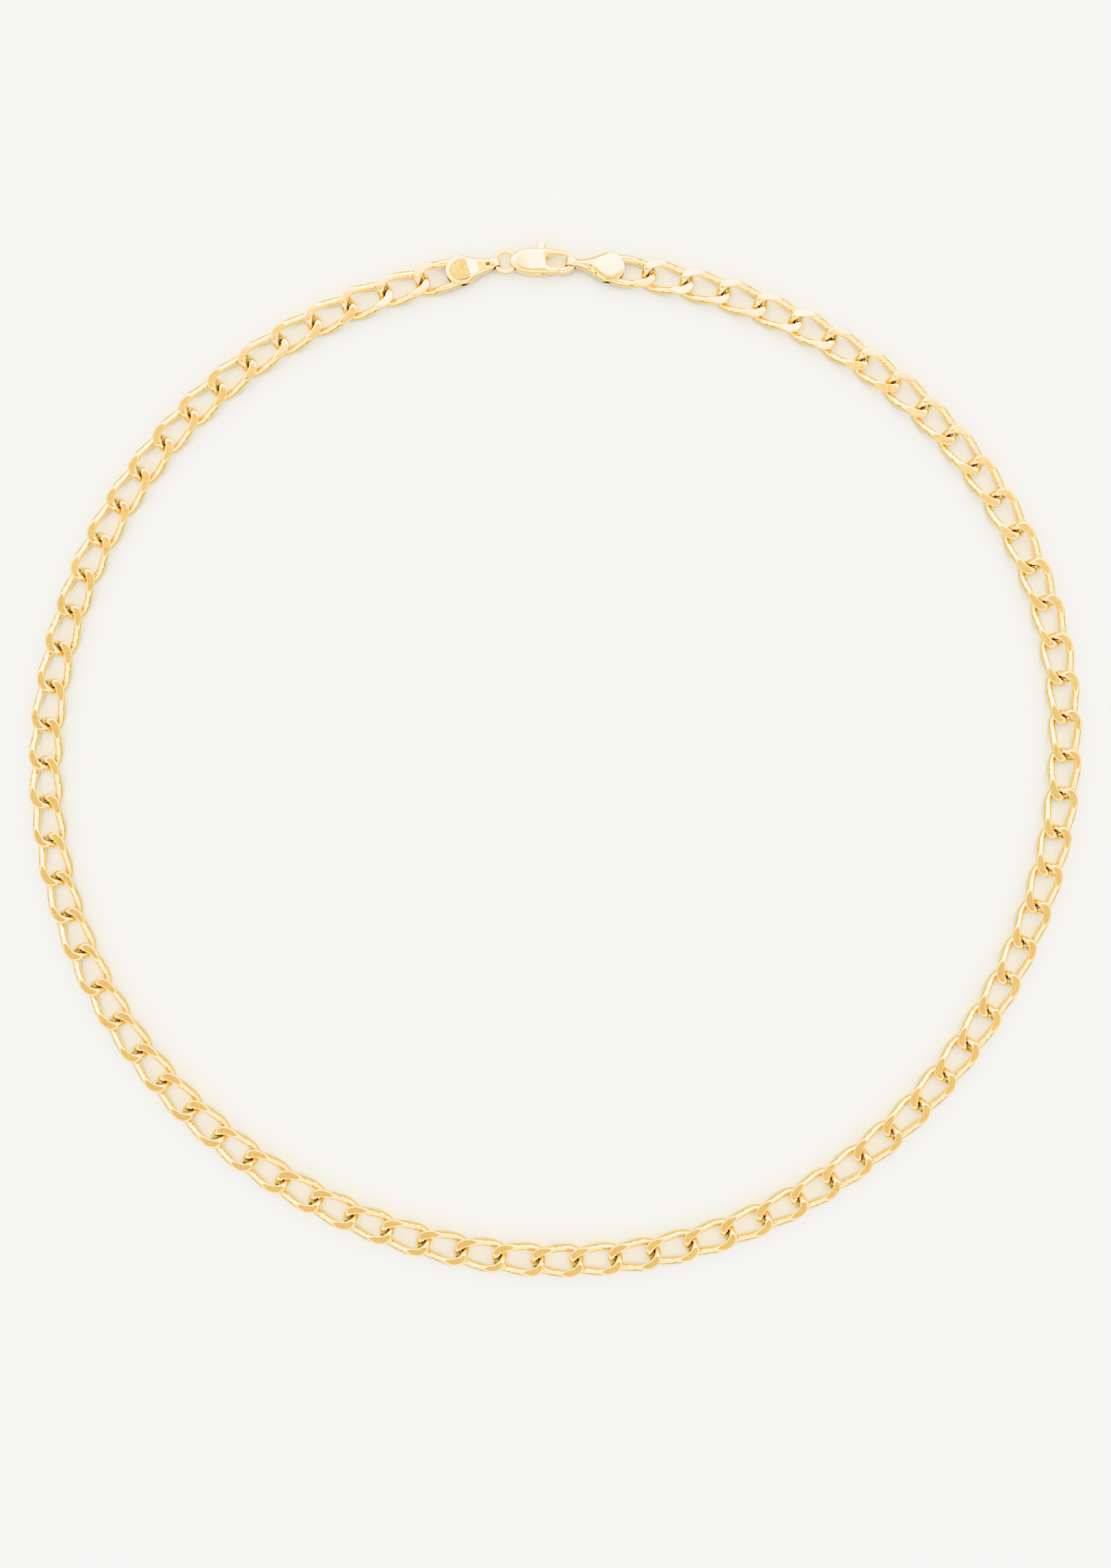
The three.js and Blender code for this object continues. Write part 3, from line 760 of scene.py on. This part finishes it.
def cap_marks(x, y, rim, side):
    """What the press leaves on the upper leaf: how deep, and how much shade is painted on it. Left: a
    leaning facet inside a groove, and a square dent. Right: a six-sided bump in a ring, and a dot."""
    if side == "left":
        facet = smooth_step(rim, *FACET_RIM) * (1 - smooth_step(x, *FACET_END))
        border = np.exp(-((rim - BORDER_RIM) / BORDER_WIDTH) ** 2) * (1 - smooth_step(x, *BORDER_END))
        corner = smooth_step(-y, *CORNER_ACROSS) * smooth_step(x, *CORNER_ALONG)
        hole = 1 - smooth_step(np.maximum(np.abs(x - HOLE_AT), np.abs(y)), *HOLE_EDGE)
        flats = facet + smooth_step(x, *TANG_STARTS) * (1 - smooth_step(x, *TANG_ENDS))
        depth = BORDER_DEPTH * border + HOLE_DEPTH * hole - FACET_SLOPE * y * flats
        # painted shade: on the facet for its darker reflection, in the groove, darkest at one corner,
        # and in the dent
        groove = border * (BORDER_SHADE + (1 - BORDER_SHADE) * corner)
        dark = FACET_SHADE * facet + groove + HOLE_SHADE * hole
    else:
        ahead, aside = x - BUMP_AT[0], y - BUMP_AT[1]
        sides = 1 + BUMP_SIDES * np.cos(6 * np.arctan2(aside, ahead))
        six_sided = np.hypot(ahead, aside) * sides
        bump = 1 - smooth_step(six_sided, *BUMP_EDGE)
        ring = np.exp(-((six_sided - BUMP_RING) / BUMP_RING_WIDTH) ** 2)
        dot = 1 - smooth_step(np.hypot(x - DOT_AT[0], y - DOT_AT[1]), *DOT_EDGE)
        depth = DOT_DEPTH * dot - BUMP_HEIGHT * bump + BUMP_RING_DEPTH * ring
        # painted shade in the dot and the ring
        dark = DOT_SHADE * dot + BUMP_RING_SHADE * ring
    return depth, np.clip(dark, 0, 1)


def cap_surface(side):
    """A strip of sheet carried along the fold. Its rim is curled towards the middle plane by a
    quarter of an oval. Returns the grid of points, and the shade painted on the marks and the fold's
    inside."""
    x, z = cap_path(side)
    upper = np.sign(z)
    path = np.stack([x, np.zeros_like(x), z], axis=1)
    along = unit(np.gradient(path, axis=0))
    outward = np.cross(along, np.array([0, 1.0, 0]))
    reach = CAP_REACH[side]
    leaf = 1 - smooth_step(x, *(reach - start for start in EYE_STARTS))
    half = cap_half_width(x, side) * (1 - LOWER_NARROWER * leaf * (z < 0))
    y = half[:, None] * np.sin(np.linspace(-np.pi / 2, np.pi / 2, CAP_COLUMNS))[None, :]
    rim = cap_rim_distance(x[:, None], y, half[:, None], side)
    thick = np.interp(x, [LEAF_THINS, reach], [LEAF, EYE_WALL[side]])[:, None] / 2
    wall = quarter_oval(rim, CUT_EDGE)
    rim_height = np.interp(x, CURL_PLACES, CURL_HEIGHTS)
    fall = 1 - quarter_oval(rim, CAP_CURL[side])
    curl = -(upper * leaf * np.clip(np.abs(z) - rim_height, 0, None))[:, None] * fall
    depth, dark = cap_marks(x[:, None], y, rim, side)
    on_top = (z > 0)[:, None] & (np.arange(len(x)) < len(x) / 2)[:, None]
    outer = thick * ((1 - CUT_STEP) * wall + CUT_STEP) - depth * on_top
    inner = -thick * wall
    middle = path[:, None, :] + y[..., None] * np.array([0, 1.0, 0])
    middle[..., 2] += curl
    top = middle + outer[..., None] * outward[:, None, :]
    under = middle + inner[..., None] * outward[:, None, :]
    points = np.concatenate([top, under[:, -2:0:-1]], axis=1)
    # painted shade on the inside of the fold
    inside = np.full_like(dark[:, 1:-1], FOLD_SHADE)
    return points, np.concatenate([dark * on_top, inside], axis=1)


def rounded_bar(path, across, up, half_width, half_depth, power, steps=36):
    """A bar: at each station a superellipse with its half axes along across and up."""
    angle = np.linspace(0, 2 * np.pi, steps, endpoint=False)
    c = signed_power(np.cos(angle), 2 / power)
    s = signed_power(np.sin(angle), 2 / power)
    return (path[:, None, :]
            + (half_width[:, None] * c)[..., None] * across[:, None, :]
            + (half_depth[:, None] * s)[..., None] * up[:, None, :])


def cap_peg():
    """The short upright round peg that holds the end link between the leaves."""
    height = GRIND - LEAF / 2
    z = np.linspace(-height, height, 5)
    path = np.stack([np.full_like(z, PEG_AT), np.zeros_like(z), z], axis=1)
    along = np.tile([1.0, 0, 0], (len(z), 1))
    across = np.tile([0, 1.0, 0], (len(z), 1))
    radius = np.full_like(z, PEG_RADIUS)
    return rounded_bar(path, along, across, radius, radius, 2, 24)


def add_cap(side, pivot, towards):
    """A cap and its peg, from the end link's pivot towards what its eye holds."""
    body = f"end_cap_{side}"
    heading = angle_of(pivot, towards)
    surface, dark = cap_surface(side)
    leaf = tube_shell(placed(surface, pivot, heading), closed=False)
    peg = tube_shell(placed(cap_peg(), pivot, heading), closed=False)
    # painted shade of the marks and the fold's inside; none on the peg
    recess_shade = np.concatenate([dark.ravel(), np.zeros(len(leaf[0]) - dark.size + len(peg[0]))])
    make_piece(f"cap_{side}", [leaf, peg], body, GOLD_CAST, {"recess_shade": recess_shade}, sharp=60)


RING_HEADING = angle_of(RING_CENTRE, PIN_CENTRE)
HOOK_POINT = placed(np.array(HOOK_AT), RING_CENTRE, RING_HEADING)
add_cap("right", STOPS[0], HOOK_POINT)
add_cap("left", STOPS[-1], RING_CENTRE)


# ---------------------------------------------------------------- jump ring

def ring_surface():
    """One turn of round wire with a narrow split; the cut ends are a little rounded."""
    half_gap = RING_SPLIT / RING_RADIUS / 2
    turn = np.linspace(half_gap, 2 * np.pi - half_gap, RING_STEPS) + math.radians(RING_SPLIT_ANGLE)
    steps = np.arange(RING_STEPS)
    from_end = np.minimum(steps, steps[::-1])
    radius = RING_WIRE / 2 * np.array(RING_CUT)[np.minimum(from_end, len(RING_CUT) - 1)]
    out = np.stack([np.cos(turn), np.sin(turn), np.zeros_like(turn)], axis=1)
    up = np.tile([0, 0, 1.0], (RING_STEPS, 1))
    return rounded_bar(RING_RADIUS * out, out, up, radius, radius, 2, 40)


def add_ring():
    ring = tube_shell(placed(ring_surface(), RING_CENTRE, RING_HEADING), closed=False)
    make_piece("split_ring", [ring], "jump_ring", GOLD_CAST, no_recess_shade([ring]), sharp=50)


add_ring()


# ---------------------------------------------------------------- lobster clasp

def opening_edge(angle):
    """Point of the opening's superellipse |x/a|^p + |y/b|^p = 1 in the direction angle from its
    centre."""
    c, s = np.cos(angle), np.sin(angle)
    a, b = OPENING_HALF
    p = OPENING_POWER
    radius = (np.abs(c / a) ** p + np.abs(s / b) ** p) ** (-1 / p)
    return OPENING_CENTRE[0] + radius * c, OPENING_CENTRE[1] + radius * s


def clasp_edges(steps):
    """The body's outer outline from the gate's hinge, round the back and over the top to the hook's
    tip, and the inner edge that faces it across the metal."""
    outer = smooth_line(CLASP_OUTLINE, steps)
    from_centre = outer - np.array(OPENING_CENTRE)
    bearing = np.unwrap(np.arctan2(from_centre[:, 1], from_centre[:, 0])) + 2 * np.pi
    facing = np.interp(bearing, np.radians(METAL_FROM), np.radians(METAL_TO))
    inner_x, inner_y = opening_edge(facing)
    return outer, np.stack([inner_x, inner_y], axis=1)


def clasp_half_surface(side, steps=240, across=33):
    """One cheek of the cast body with its half of the hook. Across the metal the height grows from a
    wall at each edge to the crown by a quarter of an oval. The flat inner face lies at the slot's
    wall, past the slot at the middle plane, and clear of the ring's wire at the nose."""
    outer, inner = clasp_edges(steps)
    share = (1 - np.cos(np.linspace(0, np.pi, across))) / 2
    plan = inner[:, None, :] + share[None, :, None] * (outer - inner)[:, None, :]
    width = np.linalg.norm(outer - inner, axis=1)[:, None]
    edge = np.minimum(share, 1 - share)[None, :] * width
    x, y = plan[..., 0], plan[..., 1]
    wall = along_table(x, CLASP_WALL)
    rounding = quarter_oval(edge, along_table(x, CLASP_SHOULDER))
    height = wall + (through(x, CLASP_CROWN) - wall) * rounding
    slot_begun = smooth_step(x, SLOT_FROM - SLOT_EDGE, SLOT_FROM)
    slot_over = smooth_step(x, SLOT_TO, SLOT_TO + SLOT_FRONT_EDGE)
    below = smooth_step(-y, -SLOT_FLOOR, SLOT_EDGE - SLOT_FLOOR)
    mouth = smooth_step(x, SLOT_MOUTH, SLOT_MOUTH + SLOT_EDGE)
    slot = slot_begun * (1 - slot_over) * (1 - below * (1 - mouth))
    round_ring = 1 - smooth_step(np.hypot(x, y), *RING_ROOM)
    floor = CLASP_SEAM + (SLOT_HALF - CLASP_SEAM) * slot + RING_ROOM_HALF * round_ring
    top = np.concatenate([plan, (side * height)[..., None]], axis=2)
    under = np.concatenate([plan, (side * np.minimum(floor, height - 0.01))[..., None]], axis=2)
    return np.concatenate([top, under[:, ::-1]], axis=1)


def nose_surface():
    """The eye at the body's back: a bar with rounded corners, bent to a circle about the ring's
    wire."""
    turn = np.linspace(0, 2 * np.pi, NOSE_STEPS, endpoint=False)
    radial = np.stack([np.cos(turn), np.zeros_like(turn), np.sin(turn)], axis=1)
    side = np.tile([0, 1.0, 0], (NOSE_STEPS, 1))
    middle = np.array([RING_RADIUS, 0, 0]) + NOSE_RADIUS * radial
    half_thickness = np.full(NOSE_STEPS, NOSE_THICKNESS / 2)
    half_width = np.full(NOSE_STEPS, NOSE_WIDTH / 2)
    return rounded_bar(middle, radial, side, half_thickness, half_width, NOSE_POWER, 28)


def lever_path():
    """Middle line of the lever from the thumb tab over the pin to the gate's tip, with its half
    width there: straight lines between the knots, then a moving average."""
    knots = np.arange(len(LEVER_KNOTS), dtype=float)
    at = np.linspace(0, len(LEVER_KNOTS) - 1, LEVER_STEPS)
    even = np.ones(LEVER_AVERAGE) / LEVER_AVERAGE
    return [np.convolve(np.pad(np.interp(at, knots, column), LEVER_AVERAGE // 2, mode="edge"),
                        even, "valid")
            for column in zip(*LEVER_KNOTS)]


def lever_surface():
    """A flat bar with rounded corners, bent in its own plane. The thumb tab's end is round, and the
    gate's tip is cut at a slant."""
    x, y, half = lever_path()
    path = np.stack([x, y, np.zeros_like(x)], axis=1)
    along = unit(np.gradient(path, axis=0))
    up = np.tile([0, 0, 1.0], (len(x), 1))
    across = np.cross(up, along)
    travel = travel_along(path)
    tab_wide = 1 - np.clip(travel / TAB_ROUND, 0, 1)
    tab_deep = 1 - np.clip(travel / TAB_THINS, 0, 1)
    tip = np.clip((travel[-1] - travel) / TIP_ROUND, 0, 1)
    half = half * np.sqrt(1 - tab_wide ** 2 * 0.97) * (0.9 + 0.1 * tip)
    depth = LEVER_HALF_DEPTH * np.sqrt(1 - tab_deep ** 2 * 0.75) * (0.93 + 0.07 * tip)
    points = rounded_bar(path, across, up, half, depth, LEVER_POWER, 44)
    slanted = TIP_SLANT * smooth_step(points[..., 0], *TIP_SLANTS)
    points[..., 0] += slanted * (points[..., 1] - GATE_LINE)
    return points


def add_clasp():
    """The two cheeks with the nose as one casting, and the lever."""
    middle = RING_CENTRE + np.array([0, 0, CLASP_RISE])
    halves = [placed(clasp_half_surface(side), middle, CLASP_LEVEL) for side in (1, -1)]
    nose = placed(nose_surface(), RING_CENTRE, CLASP_LEVEL)
    shells = [tube_shell(h, closed=False) for h in halves] + [tube_shell(nose, closed=True)]
    make_piece("clasp_casting", shells, "clasp_body", GOLD_CAST, no_recess_shade(shells), sharp=55)
    lever = tube_shell(placed(lever_surface(), middle, CLASP_LEVEL), closed=False)
    make_piece("clasp_thumb_lever", [lever], "clasp_lever", GOLD_CAST, no_recess_shade([lever]), sharp=55)


add_clasp()


def finish_node(node, material):
    """Gives a node of the frame its finish."""
    target = frame["nodes"][node]
    target.data.materials.clear()
    target.data.materials.append(material)


finish_node("clasp_pin", GOLD_PIN)
finish_node("clasp_spring", STEEL)


# ---------------------------------------------------------------- floor, light and camera

def add_floor():
    """Matt paper, which the metal mirrors at a brightness of its own."""
    size = PAPER_HALF
    mesh = bpy.data.meshes.new("floor")
    mesh.from_pydata([(-size, -size, 0), (size, -size, 0), (size, size, 0), (-size, size, 0)],
                     [], [(0, 1, 2, 3)])
    floor = bpy.data.objects.new("floor", mesh)
    bpy.context.scene.collection.objects.link(floor)
    material = bpy.data.materials.new("matt_paper")
    material.use_nodes = True
    tree = material.node_tree
    shader = tree.nodes["Principled BSDF"]
    shader.inputs["Base Color"].default_value = PAPER_COLOUR
    shader.inputs["Roughness"].default_value = 0.9
    shader.inputs["Specular IOR Level"].default_value = 0.0
    bright = tree.nodes.new("ShaderNodeEmission")
    bright.inputs["Strength"].default_value = PAPER_MIRRORED
    mix = tree.nodes.new("ShaderNodeMixShader")
    glossy = tree.nodes.new("ShaderNodeLightPath").outputs["Is Glossy Ray"]
    tree.links.new(glossy, mix.inputs["Fac"])
    tree.links.new(shader.outputs[0], mix.inputs[1])
    tree.links.new(bright.outputs[0], mix.inputs[2])
    tree.links.new(mix.outputs[0], tree.nodes["Material Output"].inputs["Surface"])
    mesh.materials.append(material)


def pointing(tree, way, direction):
    """How nearly the way points in the direction: the dot product of the two."""
    dot = tree.nodes.new("ShaderNodeVectorMath")
    dot.operation = "DOT_PRODUCT"
    tree.links.new(way, dot.inputs[0])
    dot.inputs[1].default_value = direction
    return dot.outputs["Value"]


def add_world():
    """A white tent, brighter on the far side. What the metal mirrors also has two bright bands, a
    dim foot, and a dim round patch overhead, which is cut off straight on its far side. What isn't
    mirrored, such as the light on the paper, comes from an even tent instead."""
    world = bpy.data.worlds.new("soft_tent")
    bpy.context.scene.world = world
    world.use_nodes = True
    tree = world.node_tree
    tree.nodes.clear()
    out = tree.nodes.new("ShaderNodeOutputWorld")
    shader = tree.nodes.new("ShaderNodeBackground")
    tree.links.new(shader.outputs[0], out.inputs["Surface"])
    way = tree.nodes.new("ShaderNodeTexCoord").outputs["Generated"]
    disc = map_range(tree, pointing(tree, way, PATCH_WAY), *PATCH_EDGE, 0, 1)
    cut_off = map_range(tree, pointing(tree, way, CUT_OFF_WAY), *CUT_OFF_EDGE, 1, 0)
    patch = math_node(tree, "MULTIPLY", disc, cut_off)
    parts = tree.nodes.new("ShaderNodeSeparateXYZ")
    tree.links.new(way, parts.inputs[0])
    away, up = parts.outputs["Y"], parts.outputs["Z"]
    tent = map_range(tree, away, -1, 1, *TENT)
    far_box = map_range(tree, away, *FAR_BOX[:2], 0, FAR_BOX[2])
    near_box = map_range(tree, away, *NEAR_BOX[:2], 0, NEAR_BOX[2])
    high = map_range(tree, up, *BOXES_ABOVE, 0, 1)
    boxes = math_node(tree, "MULTIPLY", math_node(tree, "ADD", far_box, near_box), high)
    above = map_range(tree, up, *TENT_FOOT, FOOT_SHARE, 1)
    tent = math_node(tree, "MULTIPLY", math_node(tree, "ADD", tent, boxes), above)
    keep = math_node(tree, "SUBTRACT", 1.0, patch)
    mirrored = math_node(tree, "ADD", math_node(tree, "MULTIPLY", tent, keep),
                         math_node(tree, "MULTIPLY", patch, PATCH_BRIGHTNESS))
    even = map_range(tree, away, -1, 1, *TENT_EVEN)
    glossy = tree.nodes.new("ShaderNodeLightPath").outputs["Is Glossy Ray"]
    rest = math_node(tree, "SUBTRACT", 1.0, glossy)
    strength = math_node(tree, "ADD", math_node(tree, "MULTIPLY", mirrored, glossy),
                         math_node(tree, "MULTIPLY", even, rest))
    tree.links.new(strength, shader.inputs["Strength"])
    shader.inputs["Color"].default_value = TENT_COLOUR
    world.cycles.sampling_method = "NONE"


def add_camera():
    """Straight down, a little towards the wearer's side of the loop's middle."""
    data = bpy.data.cameras.new("camera")
    data.sensor_width = SENSOR
    data.lens = SENSOR * (CAMERA_HEIGHT - CHAIN_MIDDLE) / LENGTH_IN_VIEW
    data.clip_start = 0.01
    camera = bpy.data.objects.new("camera", data)
    camera.location = (0, -CAMERA_NEARER, CAMERA_HEIGHT)
    bpy.context.scene.collection.objects.link(camera)
    bpy.context.scene.camera = camera


add_floor()
add_world()
add_camera()
bpy.context.scene.view_settings.view_transform = "Khronos PBR Neutral"
